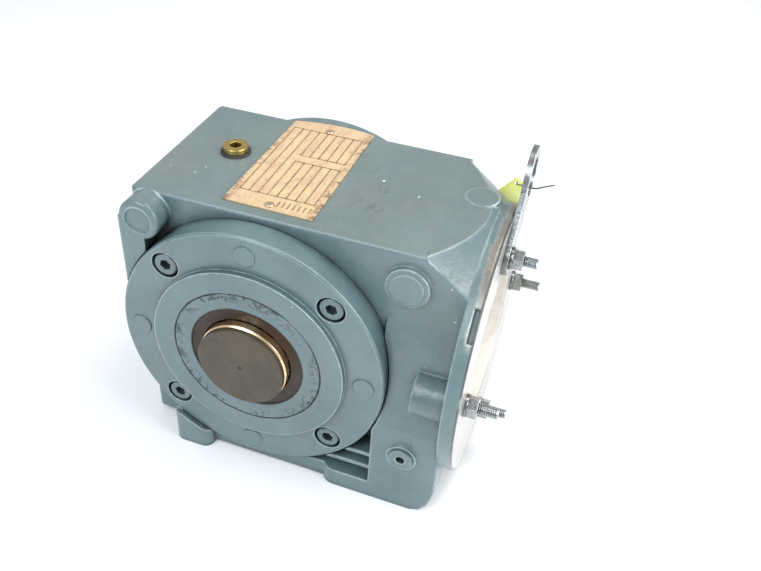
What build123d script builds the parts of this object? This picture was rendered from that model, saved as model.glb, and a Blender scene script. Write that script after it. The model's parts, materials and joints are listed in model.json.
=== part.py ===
from build123d import *
from math import acos, cos, degrees, pi, radians, sin, tan
import os

os.makedirs("parts", exist_ok=True)

# Worm gearbox with a helical first stage, a hollow output shaft and a studded motor flange.
# Millimetres. Origin: on the output shaft axis, in the middle plane of the worm wheel.
# X runs along the worm towards the motor, Y along the output shaft towards the back, Z up.

# ---- driving dimensions -------------------------------------------------------------------
CASE_LEFT = -72.0
CASE_FRONT = -46.5
CASE_BACK = 53.0
CASE_TOP = 80.0
CASE_FLOOR = -80.0
FOOT_BOTTOM = -84.0
FOOT_FRONT = -61.0
FOOT_BACK = 61.0

COVER_R = 76.0
COVER_FACE = -61.0
SPIGOT_R = 55.0
SPIGOT_FACE = -64.5
COVER_PCD_R = 65.0
COVER_REGISTER_R = 48.0
COVER_REGISTER_END = -32.5
REAR_BOSS_R = 80.0
REAR_BOSS_FACE = 65.0

SHAFT_R = 25.0
BORE_R = 17.5
CAP_SEAT_R = 21.5
CAP_DEPTH = 9.0
SHAFT_END = 69.0
COLLAR_R = 29.0
BEARING_R = 40.0
BEARING_W = 16.0
BEARING_START = 34.0
CARRIER_R = 42.5
SEAL_R = 32.5

MODULE = 2.5
WORM_STARTS = 2
WHEEL_TEETH = 30
CENTRE_DISTANCE = 50.0
WORM_PITCH_R = 12.5
WORM_TIP_R = 15.0
WORM_ROOT_R = 9.4
WORM_HALF_LENGTH = 26.0
WHEEL_PITCH_R = 37.5
WHEEL_TIP_R = 40.0
WHEEL_ROOT_R = 34.4
WHEEL_HALF_WIDTH = 12.0
WORM_LEAD = pi * MODULE * WORM_STARTS
TOOTH_THINNING = 0.35
WORM_Z = -CENTRE_DISTANCE

HELICAL_TEETH = 36
HELICAL_MODULE = 1.5
HELICAL_TILT = 12.0
HELICAL_WIDTH = 15.0
HELICAL_START = 79.0

FLANGE_Z = 3.0
FLANGE_R = 75.0
FLANGE_FACE = 117.0
FLANGE_BACK = 109.0
INPUT_BORE_R = 40.0
STUD_PCD_R = 55.0
STUD_R = 3.0
STUD_TIP = 134.0
STUD_ROOT = 102.0
NUT_AF = 10.0
NUT_H = 5.2
WASHER_T = 1.6

PLATE_T = 3.0
PLATE_ANGLE = 40.0
EYE_DISTANCE = 45.0
EYE_OUTER_R = 16.5
EYE_HOLE_R = 10.5

FRONT_VIEW = Plane.XZ
SIDE_VIEW = Plane.YZ


def at_y(y):
    """A plane facing the front, with local x along X and local y along Z, at depth y."""
    return FRONT_VIEW.offset(-y)


def at_x(x):
    """A plane facing the motor, with local x along Y and local y along Z, at position x."""
    return SIDE_VIEW.offset(x)


def involute_half_angle(radius, pitch_radius, thickness):
    """Half the angle that a 20 degree involute tooth fills at a radius, in degrees."""
    base = pitch_radius * cos(radians(20))
    pressure = acos(min(1.0, base / radius))
    spread = tan(radians(20)) - radians(20) - (tan(pressure) - pressure)
    return degrees(thickness / (2 * pitch_radius) + spread)


def polar(radius, angle):
    return (radius * cos(radians(angle)), radius * sin(radians(angle)))


def toothed_face(plane, teeth, module, tip, root, thickness, gap_angle):
    """The end face of a gear, with one tooth gap centred on gap_angle."""
    pitch = teeth * module / 2
    step = 360 / teeth
    middle = (tip + root) / 2
    at_root = involute_half_angle(max(root, pitch * cos(radians(20))), pitch, thickness)
    at_middle = involute_half_angle(middle, pitch, thickness)
    at_tip = involute_half_angle(tip, pitch, thickness)
    with BuildSketch(plane) as face:
        with BuildLine():
            for k in range(teeth):
                centre = gap_angle + (k + 0.5) * step
                last = centre - step + at_root
                Line(polar(root, last), polar(root, centre - at_root))
                ThreePointArc(
                    polar(root, centre - at_root),
                    polar(middle, centre - at_middle),
                    polar(tip, centre - at_tip),
                )
                Line(polar(tip, centre - at_tip), polar(tip, centre + at_tip))
                ThreePointArc(
                    polar(tip, centre + at_tip),
                    polar(middle, centre + at_middle),
                    polar(root, centre + at_root),
                )
        make_face()
    return face.sketch.face()


def worm_face(plane, angle_at_start):
    """The end face of the worm: a straight-sided axial thread seen along the axis."""
    half_pitch = pi * MODULE / 2

    def half_width(radius):
        axial = half_pitch - TOOTH_THINNING - 2 * (radius - WORM_PITCH_R) * tan(radians(20))
        return 180 * axial / WORM_LEAD

    radii = [WORM_ROOT_R + k * (WORM_TIP_R - WORM_ROOT_R) / 3 for k in range(4)]
    with BuildSketch(plane) as face:
        with BuildLine():
            for start in range(WORM_STARTS):
                centre = angle_at_start + start * 360 / WORM_STARTS
                last = centre - 360 / WORM_STARTS + half_width(WORM_ROOT_R)
                first = centre - half_width(WORM_ROOT_R)
                ThreePointArc(
                    polar(WORM_ROOT_R, last),
                    polar(WORM_ROOT_R, (last + first) / 2),
                    polar(WORM_ROOT_R, first),
                )
                Spline(*[polar(r, centre - half_width(r)) for r in radii])
                ThreePointArc(
                    polar(WORM_TIP_R, centre - half_width(WORM_TIP_R)),
                    polar(WORM_TIP_R, centre),
                    polar(WORM_TIP_R, centre + half_width(WORM_TIP_R)),
                )
                Spline(*[polar(r, centre + half_width(r)) for r in reversed(radii)])
        make_face()
    return face.sketch.face()


# ---- housing: one iron casting with feet, rear bearing seat, worm tunnel and input neck -----
RIB_LEVELS = (-51.0, -61.0)
LUG_R = 11.5
LUG_Z = 68.3
LUG_FACE = -59.0
UPPER_NECK_X = 78.0
STUD_BOSS_START = 91.0
STUD_BOSS_R = 11.8
NECK_BOSS = (80, 61.5)
WORM_SEAT_R = 23.5
TUNNEL_R = 17.0
CAVITY_R = 58.0

with BuildPart() as housing:
    # neck above the shaft, rounded down to the motor flange by a cone
    with BuildSketch(at_x(UPPER_NECK_X)):
        with BuildLine():
            Polyline(
                (CASE_FRONT, 0), (CASE_BACK, 0), (CASE_BACK, CASE_TOP), (CASE_FRONT, CASE_TOP), close=True
            )
        make_face()
    extrude(amount=FLANGE_BACK - UPPER_NECK_X)
    with BuildSketch(Plane.XZ):
        with BuildLine():
            Polyline(
                (60, FLANGE_Z), (FLANGE_BACK + 1, FLANGE_Z), (FLANGE_BACK + 1, 77.4), (60, 110), close=True
            )
        make_face()
    revolve(axis=Axis((0, 0, FLANGE_Z), (1, 0, 0)), mode=Mode.INTERSECT)
    # gear case
    with BuildSketch(at_y(CASE_FRONT)):
        with BuildLine():
            Polyline(
                (CASE_LEFT, CASE_FLOOR),
                (85, CASE_FLOOR),
                (85, CASE_TOP),
                (CASE_LEFT, CASE_TOP),
                close=True,
            )
        make_face()
    extrude(amount=CASE_FRONT - CASE_BACK)
    # lower part of the neck, which stands further forward and back
    with BuildSketch(at_x(71)):
        with BuildLine():
            Polyline(
                (FOOT_FRONT, FOOT_BOTTOM),
                (FOOT_FRONT, -24),
                (-57, -9),
                (-54.5, 6),
                (-51, 24),
                (CASE_FRONT, 40),
                (CASE_BACK, 40),
                (55.5, 6),
                (FOOT_BACK, -24),
                (FOOT_BACK, FOOT_BOTTOM),
                close=True,
            )
        make_face()
    extrude(amount=FLANGE_BACK - 71)
    with BuildSketch(at_y(FOOT_FRONT - 1)):
        with BuildLine():
            Polyline(
                (96, FOOT_BOTTOM),
                (102, FOOT_BOTTOM + 2.5),
                (105.5, -77),
                (107.5, -71),
                (109.5, -62),
                (112, -62),
                (112, FOOT_BOTTOM - 1),
                (96, FOOT_BOTTOM - 1),
                close=True,
            )
        make_face()
    extrude(amount=-(FOOT_BACK - FOOT_FRONT + 2), mode=Mode.SUBTRACT)
    left_rim = housing.faces().sort_by(Axis.X)[0].edges().group_by(Axis.Z)
    fillet(left_rim[1] + left_rim[2], radius=4)
    top_face = housing.faces().filter_by(Axis.Z).sort_by(Axis.Z)[-1]
    long_edges = top_face.edges().filter_by(Axis.X)
    fillet(long_edges, radius=2.2)

    # rear boss around the output shaft
    with BuildSketch(at_y(REAR_BOSS_FACE)):
        Circle(REAR_BOSS_R)
    extrude(amount=REAR_BOSS_FACE - CASE_BACK + 2)
    fillet(housing.edges().group_by(Axis.Y)[-1], radius=3)

    # left foot, front to back, with rounded corners
    with BuildSketch(Plane.XY.offset(FOOT_BOTTOM)):
        with Locations((-39, 0)):
            RectangleRounded(24, 128, 6)
    extrude(amount=22)

    # skirt between the feet, and the lip at the foot of the neck
    with BuildSketch(Plane.XY.offset(FOOT_BOTTOM + 1)):
        with Locations((10, 0)):
            Rectangle(80, 114)
    extrude(amount=11)
    with BuildSketch(Plane.XY.offset(FOOT_BOTTOM)):
        with Locations((62, 0)):
            RectangleRounded(40, FOOT_BACK - FOOT_FRONT, 8)
    extrude(amount=-72 - FOOT_BOTTOM)

    # cooling ribs along the lower front and back of the case
    for level in RIB_LEVELS:
        with BuildSketch(Plane.XY.offset(level - 1)):
            with Locations((11, 0)):
                Rectangle(122, 120)
        extrude(amount=2)

    # lug and column at the left front corner, with a blank spotface
    with BuildSketch(at_y(LUG_FACE)):
        with Locations((CASE_LEFT + LUG_R, LUG_Z)):
            Circle(LUG_R)
        with Locations((CASE_LEFT + 7, 42)):
            Rectangle(14, 54)
    extrude(amount=-(CASE_FRONT + 2 - LUG_FACE))
    lug_face = housing.faces().filter_by(Axis.Y).filter_by_position(Axis.Y, LUG_FACE - 0.1, LUG_FACE + 0.1)
    fillet(lug_face.edges().filter_by(GeomType.CIRCLE), radius=2)
    with BuildSketch(at_y(LUG_FACE)):
        with Locations((CASE_LEFT + LUG_R, LUG_Z)):
            Circle(7.6)
    extrude(amount=-1.2, mode=Mode.SUBTRACT)

    # round cast pad over the neck's shoulder
    with BuildSketch(Plane.XY.offset(66)):
        with Locations((99, 15)):
            Circle(9)
    extrude(amount=CASE_TOP + 0.5 - 66)

    # half-round boss for the front stud, and its twin behind
    with BuildSketch(at_x(STUD_BOSS_START)):
        with Locations((-STUD_PCD_R, FLANGE_Z), (STUD_PCD_R, FLANGE_Z)):
            Circle(STUD_BOSS_R)
    extrude(amount=FLANGE_BACK - STUD_BOSS_START)

    # blank round boss on the front of the neck
    with BuildSketch(at_y(CASE_FRONT)):
        with Locations(NECK_BOSS):
            Circle(11.3)
    extrude(amount=3)
    with BuildSketch(at_y(CASE_FRONT - 3)):
        with Locations(NECK_BOSS):
            Circle(8.6)
    extrude(amount=1)

    # drain boss low on the neck
    with BuildSketch(at_y(FOOT_FRONT)):
        with Locations((89, -42)):
            Circle(8.5)
    extrude(amount=1.8)

    # hollow beside the cover, so that its rim stands clear of the neck and the lug
    with BuildSketch(at_y(FOOT_FRONT - 5)):
        Circle(COVER_R + 0.6)
    extrude(amount=-(CASE_FRONT - FOOT_FRONT + 5), mode=Mode.SUBTRACT)

    # motor flange plate
    with BuildSketch(at_x(FLANGE_BACK)):
        with Locations((0, FLANGE_Z)):
            Circle(FLANGE_R)
    extrude(amount=FLANGE_FACE - FLANGE_BACK)
    chamfer(housing.edges().group_by(Axis.X)[-1], length=0.6)
    with BuildSketch(at_x(113.2)):
        with Locations((0, FLANGE_Z)):
            with Locations(polar(FLANGE_R, 137)):
                Rectangle(4, 17, rotation=137)
    extrude(amount=2.8, mode=Mode.SUBTRACT)

    # inside: gear chamber, opening for the cover, and rear bearing and seal seats
    with BuildSketch(at_y(COVER_REGISTER_END)):
        Circle(CAVITY_R)
    extrude(amount=-(BEARING_START - 3 - COVER_REGISTER_END), mode=Mode.SUBTRACT)
    with BuildSketch(at_y(CASE_FRONT)):
        Circle(COVER_REGISTER_R)
    extrude(amount=-20, mode=Mode.SUBTRACT)
    with BuildSketch(at_y(REAR_BOSS_FACE)):
        Circle(BEARING_R)
    extrude(amount=REAR_BOSS_FACE - BEARING_START, mode=Mode.SUBTRACT)
    with BuildSketch(at_y(REAR_BOSS_FACE)):
        Circle(BEARING_R - 4)
    extrude(amount=REAR_BOSS_FACE - 20, mode=Mode.SUBTRACT)
    with BuildSketch(at_y(BEARING_START + BEARING_W + 2.5)):
        Circle(BEARING_R + 1.75)
    extrude(amount=2.5, mode=Mode.SUBTRACT)

    # worm tunnel and its two bearing seats
    with BuildSketch(at_x(-60)):
        with Locations((0, WORM_Z)):
            Circle(TUNNEL_R)
    extrude(amount=130, mode=Mode.SUBTRACT)
    with BuildSketch(at_x(CASE_LEFT - 1)):
        with Locations((0, WORM_Z)):
            Circle(WORM_SEAT_R)
    extrude(amount=22, mode=Mode.SUBTRACT)
    with BuildSketch(at_x(60)):
        with Locations((0, WORM_Z)):
            Circle(WORM_SEAT_R)
    extrude(amount=20, mode=Mode.SUBTRACT)
    with BuildSketch(at_x(-66.9)):
        with Locations((0, WORM_Z)):
            Circle(WORM_SEAT_R + 1.3)
    extrude(amount=1.9, mode=Mode.SUBTRACT)
    with BuildSketch(at_x(74)):
        with Locations((0, WORM_Z)):
            Circle(WORM_SEAT_R + 1.3)
    extrude(amount=1.9, mode=Mode.SUBTRACT)

    # helical gear chamber, open to the motor
    with BuildSketch(at_x(78)):
        with Locations((0, FLANGE_Z)):
            Circle(45)
    extrude(amount=FLANGE_BACK - 78, mode=Mode.SUBTRACT)
    with BuildSketch(at_x(78)):
        with Locations((0, WORM_Z)):
            Circle(31)
        with Locations((0, (WORM_Z + FLANGE_Z) / 2)):
            Rectangle(60, FLANGE_Z - WORM_Z)
    extrude(amount=22, mode=Mode.SUBTRACT)
    with BuildSketch(at_x(FLANGE_BACK - 1)):
        with Locations((0, FLANGE_Z)):
            Circle(INPUT_BORE_R)
    extrude(amount=FLANGE_FACE - FLANGE_BACK + 2, mode=Mode.SUBTRACT)

    # tapped holes: cover screws, motor studs, filler and drain
    with BuildSketch(at_y(CASE_FRONT)):
        with PolarLocations(COVER_PCD_R, 4, 45):
            Circle(4)
    extrude(amount=-18, mode=Mode.SUBTRACT)
    with BuildSketch(at_x(FLANGE_FACE)):
        with Locations((0, FLANGE_Z)):
            with PolarLocations(STUD_PCD_R, 4, 0):
                Circle(STUD_R)
    extrude(amount=-(FLANGE_FACE - STUD_ROOT), mode=Mode.SUBTRACT)
    with BuildSketch(Plane.XY.offset(CASE_TOP)):
        with Locations((-37, 6)):
            Circle(5)
    extrude(amount=-45, mode=Mode.SUBTRACT)
    with BuildSketch(at_y(FOOT_FRONT - 1.8)):
        with Locations((89, -42)):
            Circle(5)
    extrude(amount=-36, mode=Mode.SUBTRACT)
    with BuildSketch(Plane.XY.offset(CASE_TOP)):
        with Locations((2.5, -36), (2.5, 46)):
            Circle(1.5)
    extrude(amount=-5, mode=Mode.SUBTRACT)
housing.part.label = "housing"
export_step(housing.part, "parts/housing.step")

# ---- front output cover, its gasket, screws and hole plugs ----------------------------------
with BuildPart() as output_cover:
    with BuildSketch(at_y(COVER_FACE)):
        Circle(COVER_R)
    extrude(amount=-(CASE_FRONT - 0.5 - COVER_FACE))
    chamfer(output_cover.edges().group_by(Axis.Y)[0], length=1)
    with BuildSketch(at_y(COVER_FACE)):
        Circle(SPIGOT_R)
    extrude(amount=COVER_FACE - SPIGOT_FACE)
    with BuildSketch(at_y(-34)):
        Circle(COVER_REGISTER_R - 0.05)
    extrude(amount=13.5)
    with BuildSketch(at_y(-34)):
        Circle(BEARING_R)
    extrude(amount=16, mode=Mode.SUBTRACT)
    with BuildSketch(at_y(-49)):
        Circle(BEARING_R - 4)
    extrude(amount=5, mode=Mode.SUBTRACT)
    with BuildSketch(at_y(-52)):
        Circle(CARRIER_R)
    extrude(amount=14, mode=Mode.SUBTRACT)
    with BuildSketch(at_y(COVER_FACE)):
        with PolarLocations(COVER_PCD_R, 4, 45):
            Circle(7.75)
    extrude(amount=-8.5, mode=Mode.SUBTRACT)
    with BuildSketch(at_y(COVER_FACE)):
        with PolarLocations(COVER_PCD_R, 4, 45):
            Circle(4.3)
    extrude(amount=-15, mode=Mode.SUBTRACT)
    with BuildSketch(at_y(COVER_FACE)):
        with PolarLocations(COVER_PCD_R, 4, 0):
            Circle(4)
    extrude(amount=-12, mode=Mode.SUBTRACT)
output_cover.part.label = "output_cover"
export_step(output_cover.part, "parts/output_cover.step")

with BuildPart() as cover_gasket:
    with BuildSketch(at_y(CASE_FRONT)):
        Circle(COVER_R - 0.6)
        Circle(COVER_REGISTER_R, mode=Mode.SUBTRACT)
        with PolarLocations(COVER_PCD_R, 4, 45):
            Circle(4.3, mode=Mode.SUBTRACT)
    extrude(amount=0.5)
cover_gasket.part.label = "cover_gasket"
export_step(cover_gasket.part, "parts/cover_gasket.step")

with BuildPart() as cover_screws:
    with BuildSketch(at_y(COVER_FACE + 8.5)):
        with PolarLocations(COVER_PCD_R, 4, 45):
            Circle(6.5)
    extrude(amount=8)
    chamfer(cover_screws.edges().group_by(Axis.Y)[0], length=0.6)
    with BuildSketch(at_y(COVER_FACE + 0.5)):
        with PolarLocations(COVER_PCD_R, 4, 45):
            RegularPolygon(3, 6, major_radius=False)
    extrude(amount=-4, mode=Mode.SUBTRACT)
    with BuildSketch(at_y(COVER_FACE + 8.5)):
        with PolarLocations(COVER_PCD_R, 4, 45):
            Circle(4)
    extrude(amount=-22)
cover_screws.part.label = "cover_screws"
export_step(cover_screws.part, "parts/cover_screws.step")

with BuildPart() as flange_hole_plugs:
    with BuildSketch(at_y(COVER_FACE)):
        with PolarLocations(COVER_PCD_R, 4, 0):
            Circle(6)
    extrude(amount=0.7)
    fillet(flange_hole_plugs.edges().group_by(Axis.Y)[0], radius=0.6)
    with BuildSketch(at_y(COVER_FACE)):
        with PolarLocations(COVER_PCD_R, 4, 0):
            Circle(4)
    extrude(amount=-8)
flange_hole_plugs.part.label = "flange_hole_plugs"
export_step(flange_hole_plugs.part, "parts/flange_hole_plugs.step")

# ---- seal carrier and oil seals -----------------------------------------------------------------
with BuildPart() as seal_carrier:
    with BuildSketch(at_y(-52)):
        Circle(CARRIER_R - 0.1)
        Circle(SEAL_R, mode=Mode.SUBTRACT)
    extrude(amount=12.5)
    chamfer(seal_carrier.edges().group_by(Axis.Y)[0], length=0.5)
seal_carrier.part.label = "seal_carrier"
export_step(seal_carrier.part, "parts/seal_carrier.step")


def oil_seal(outer, width):
    """Half section of a lip seal, X as radius and Z as depth, ready to be revolved about Z."""
    with BuildSketch(Plane.XZ) as section:
        with BuildLine():
            Polyline(
                (outer, 0),
                (outer, width),
                (outer - 1.5, width),
                (outer - 1.5, 2),
                (SHAFT_R + 2.5, 2),
                (SHAFT_R + 2.0, width - 1),
                (SHAFT_R + 0.9, width - 1),
                (SHAFT_R + 0.05, width - 2.5),
                (SHAFT_R + 0.9, 2.5),
                (SHAFT_R + 0.6, 0),
                close=True,
            )
        make_face()
    return section.sketch


with BuildPart(Plane(origin=(0, -63.5, 0), z_dir=(0, 1, 0))) as front_oil_seal:
    add(revolve(oil_seal(SEAL_R, 8), axis=Axis.Z, mode=Mode.PRIVATE))
front_oil_seal.part.label = "front_oil_seal"
export_step(front_oil_seal.part, "parts/front_oil_seal.step")

with BuildPart(Plane(origin=(0, 64, 0), z_dir=(0, -1, 0))) as rear_oil_seal:
    add(revolve(oil_seal(BEARING_R, 10), axis=Axis.Z, mode=Mode.PRIVATE))
rear_oil_seal.part.label = "rear_oil_seal"
export_step(rear_oil_seal.part, "parts/rear_oil_seal.step")

# ---- output shaft with its wheel, spacers and bearings --------------------------------------------
with BuildPart() as output_shaft:
    with BuildSketch(at_y(SHAFT_END)):
        Circle(SHAFT_R)
    extrude(amount=2 * SHAFT_END)
    chamfer(output_shaft.edges(), length=1.2)
    with BuildSketch(at_y(WHEEL_HALF_WIDTH)):
        Circle(COLLAR_R)
    extrude(amount=2 * WHEEL_HALF_WIDTH)
    with BuildSketch(at_y(SHAFT_END)):
        Circle(BORE_R)
        with Locations((0, BORE_R)):
            Rectangle(10, 6.6)
    extrude(amount=2 * SHAFT_END - CAP_DEPTH, mode=Mode.SUBTRACT)
    with BuildSketch(at_y(-SHAFT_END)):
        Circle(CAP_SEAT_R)
    extrude(amount=-CAP_DEPTH, mode=Mode.SUBTRACT)
output_shaft.part.label = "output_shaft"
export_step(output_shaft.part, "parts/output_shaft.step")

# wheel teeth lean with the worm's lead; a gap faces the worm in the middle plane
WHEEL_TWIST = degrees(2 * WHEEL_HALF_WIDTH * WORM_LEAD / (2 * pi * WORM_PITCH_R) / WHEEL_PITCH_R)
WHEEL_HAND = 1
wheel_profile = toothed_face(
    at_y(WHEEL_HALF_WIDTH),
    WHEEL_TEETH,
    MODULE,
    WHEEL_TIP_R,
    WHEEL_ROOT_R,
    pi * MODULE / 2,
    -90 - WHEEL_HAND * WHEEL_TWIST / 2,
)
wheel_blank = Solid.extrude_linear_with_rotation(
    wheel_profile,
    center=(0, WHEEL_HALF_WIDTH, 0),
    normal=(0, -2 * WHEEL_HALF_WIDTH, 0),
    angle=WHEEL_HAND * WHEEL_TWIST,
)
with BuildPart() as worm_wheel:
    add(wheel_blank)
    with BuildSketch(at_y(WHEEL_HALF_WIDTH + 1)):
        Circle(COLLAR_R)
    extrude(amount=2 * WHEEL_HALF_WIDTH + 2, mode=Mode.SUBTRACT)
worm_wheel.part.label = "worm_wheel"
export_step(worm_wheel.part, "parts/worm_wheel.step")

with BuildPart() as shaft_spacers:
    for start in (BEARING_START, -WHEEL_HALF_WIDTH):
        with BuildSketch(at_y(start)):
            Circle(SHAFT_R + 5.5)
            Circle(SHAFT_R, mode=Mode.SUBTRACT)
        extrude(amount=BEARING_START - WHEEL_HALF_WIDTH)
        with BuildSketch(at_y(start if start > 0 else start - 19)):
            Circle(SHAFT_R + 6)
            Circle(SHAFT_R + 4.2, mode=Mode.SUBTRACT)
        extrude(amount=3, mode=Mode.SUBTRACT)
shaft_spacers.part.label = "shaft_spacers"
export_step(shaft_spacers.part, "parts/shaft_spacers.step")


def ring_pair(plane, width, bore, outside, ball_circle, ball_radius, clearance):
    """Inner ring, outer ring and balls of a deep-groove bearing starting at a plane."""
    middle = plane.offset(width / 2)
    groove = Solid.make_torus(ball_circle, ball_radius + clearance, middle)
    with BuildSketch(plane) as inner_section:
        Circle(ball_circle - 0.6 * ball_radius)
        Circle(bore, mode=Mode.SUBTRACT)
    with BuildSketch(plane) as outer_section:
        Circle(outside)
        Circle(ball_circle + 0.6 * ball_radius, mode=Mode.SUBTRACT)
    inner = extrude(inner_section.sketch, amount=width, mode=Mode.PRIVATE) - groove
    outer = extrude(outer_section.sketch, amount=width, mode=Mode.PRIVATE) - groove
    return inner, outer


def ball_row(plane, width, count, ball_circle, ball_radius):
    middle = plane.offset(width / 2)
    places = [middle * Pos(*polar(ball_circle, k * 360 / count)) for k in range(count)]
    return [place * Solid.make_sphere(ball_radius) for place in places]


output_rows = [at_y(-BEARING_START), at_y(BEARING_START + BEARING_W)]
output_rings = [ring_pair(p, BEARING_W, SHAFT_R, BEARING_R, 32.5, 4.3, 0.06) for p in output_rows]
with BuildPart() as output_bearing_inner_rings:
    add([pair[0] for pair in output_rings])
output_bearing_inner_rings.part.label = "output_bearing_inner_rings"
export_step(output_bearing_inner_rings.part, "parts/output_bearing_inner_rings.step")

with BuildPart() as output_bearing_outer_rings:
    add([pair[1] for pair in output_rings])
output_bearing_outer_rings.part.label = "output_bearing_outer_rings"
export_step(output_bearing_outer_rings.part, "parts/output_bearing_outer_rings.step")

with BuildPart() as output_bearing_balls:
    for row in output_rows:
        add(ball_row(row, BEARING_W, 13, 32.5, 4.3))
output_bearing_balls.part.label = "output_bearing_balls"
export_step(output_bearing_balls.part, "parts/output_bearing_balls.step")


def circlip(plane, inner, outer, thickness, gap_angle):
    """A retaining ring open over twenty degrees around gap_angle."""
    with BuildSketch(plane) as section:
        Circle(outer)
        Circle(inner, mode=Mode.SUBTRACT)
        with Locations(polar(outer, gap_angle)):
            Rectangle(1.6 * outer, outer * 0.35, rotation=gap_angle, mode=Mode.SUBTRACT)
    return extrude(section.sketch, amount=thickness, mode=Mode.PRIVATE)


with BuildPart() as rear_bearing_circlip:
    add(circlip(at_y(BEARING_START + BEARING_W + 2.4), 36, BEARING_R + 1.7, 2.4, -90))
rear_bearing_circlip.part.label = "rear_bearing_circlip"
export_step(rear_bearing_circlip.part, "parts/rear_bearing_circlip.step")

with BuildPart() as bore_cap:
    with BuildSketch(at_y(-SHAFT_END)):
        Circle(SHAFT_R - 0.5)
    extrude(amount=3)
    chamfer(bore_cap.edges().group_by(Axis.Y)[0], length=0.5)
    with BuildSketch(at_y(-SHAFT_END)):
        Circle(CAP_SEAT_R)
    extrude(amount=-(CAP_DEPTH - 1))
    with BuildSketch(at_y(-SHAFT_END - 3)):
        Circle(1.2)
    extrude(amount=-0.5, mode=Mode.SUBTRACT)
bore_cap.part.label = "bore_cap"
export_step(bore_cap.part, "parts/bore_cap.step")

# ---- worm shaft and its bearings -----------------------------------------------------------------
WORM_TURNS = 2 * WORM_HALF_LENGTH * 360 / WORM_LEAD
WORM_HAND = 1
worm_profile = worm_face(at_x(-WORM_HALF_LENGTH), 90 - WORM_HAND * WORM_TURNS / 2)
worm_thread = Solid.extrude_linear_with_rotation(
    worm_profile,
    center=(-WORM_HALF_LENGTH, 0, 0),
    normal=(2 * WORM_HALF_LENGTH, 0, 0),
    angle=WORM_HAND * WORM_TURNS,
).moved(Location((0, 0, WORM_Z)))
SHAFT_STEPS = [
    (-66, -51, 10.0),
    (-51, -WORM_HALF_LENGTH, 12.5),
    (WORM_HALF_LENGTH, 60, 12.5),
    (60, 77, 10.0),
    (77, 98, 9.0),
]
with BuildPart() as worm_shaft:
    add(worm_thread)
    for start, end, radius in SHAFT_STEPS:
        with BuildSketch(at_x(start)):
            with Locations((0, WORM_Z)):
                Circle(radius)
        extrude(amount=end - start)
    with BuildSketch(Plane.XY.offset(WORM_Z + 5.5)):
        with Locations((HELICAL_START + 7.5, 0)):
            Rectangle(12, 6)
    extrude(amount=6, mode=Mode.SUBTRACT)
    with BuildSketch(at_x(HELICAL_START + HELICAL_WIDTH)):
        with Locations((0, WORM_Z)):
            Circle(10)
            Circle(8.5, mode=Mode.SUBTRACT)
    extrude(amount=1.3, mode=Mode.SUBTRACT)
    chamfer(worm_shaft.edges().group_by(Axis.X)[-1], length=0.8)
worm_shaft.part.label = "worm_shaft"
export_step(worm_shaft.part, "parts/worm_shaft.step")

worm_rows = [at_x(-65), at_x(60)]
worm_centre = Pos(0, 0, WORM_Z)
worm_rings = [ring_pair(p, 14, 10, WORM_SEAT_R, 16.75, 3.8, 0.06) for p in worm_rows]
with BuildPart() as worm_bearing_inner_rings:
    add([worm_centre * pair[0] for pair in worm_rings])
worm_bearing_inner_rings.part.label = "worm_bearing_inner_rings"
export_step(worm_bearing_inner_rings.part, "parts/worm_bearing_inner_rings.step")

with BuildPart() as worm_bearing_outer_rings:
    add([worm_centre * pair[1] for pair in worm_rings])
worm_bearing_outer_rings.part.label = "worm_bearing_outer_rings"
export_step(worm_bearing_outer_rings.part, "parts/worm_bearing_outer_rings.step")

with BuildPart() as worm_bearing_balls:
    for row in worm_rows:
        add([worm_centre * ball for ball in ball_row(row, 14, 8, 16.75, 3.8)])
worm_bearing_balls.part.label = "worm_bearing_balls"
export_step(worm_bearing_balls.part, "parts/worm_bearing_balls.step")

with BuildPart() as worm_bearing_circlips:
    add(worm_centre * circlip(at_x(-66.8), 20.5, WORM_SEAT_R + 1.2, 1.75, -90))
    add(worm_centre * circlip(at_x(74.05), 20.5, WORM_SEAT_R + 1.2, 1.75, -90))
worm_bearing_circlips.part.label = "worm_bearing_circlips"
export_step(worm_bearing_circlips.part, "parts/worm_bearing_circlips.step")

with BuildPart() as worm_end_cap:
    with BuildSketch(at_x(CASE_LEFT + 0.3)):
        with Locations((0, WORM_Z)):
            Circle(WORM_SEAT_R)
    extrude(amount=4)
    with BuildSketch(at_x(CASE_LEFT + 0.3)):
        with Locations((0, WORM_Z)):
            Circle(WORM_SEAT_R - 4)
    extrude(amount=1, mode=Mode.SUBTRACT)
worm_end_cap.part.label = "worm_end_cap"
export_step(worm_end_cap.part, "parts/worm_end_cap.step")

# ---- helical wheel driven by the motor pinion ----------------------------------------------------
HELICAL_PITCH_R = HELICAL_TEETH * HELICAL_MODULE / 2 / cos(radians(HELICAL_TILT))
transverse_module = 2 * HELICAL_PITCH_R / HELICAL_TEETH
helical_profile = toothed_face(
    at_x(HELICAL_START),
    HELICAL_TEETH,
    transverse_module,
    HELICAL_PITCH_R + HELICAL_MODULE,
    HELICAL_PITCH_R - 1.25 * HELICAL_MODULE,
    pi * transverse_module / 2 - 0.1,
    0,
)
helical_blank = Solid.extrude_linear_with_rotation(
    helical_profile,
    center=(HELICAL_START, 0, 0),
    normal=(HELICAL_WIDTH, 0, 0),
    angle=degrees(HELICAL_WIDTH * tan(radians(HELICAL_TILT)) / HELICAL_PITCH_R),
).moved(Location((0, 0, WORM_Z)))
with BuildPart() as helical_wheel:
    add(helical_blank)
    with BuildSketch(at_x(HELICAL_START - 1)):
        with Locations((0, WORM_Z)):
            Circle(9)
        with Locations((0, WORM_Z + 9)):
            Rectangle(6, 5.6)
    extrude(amount=HELICAL_WIDTH + 2, mode=Mode.SUBTRACT)
helical_wheel.part.label = "helical_wheel"
export_step(helical_wheel.part, "parts/helical_wheel.step")

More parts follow.
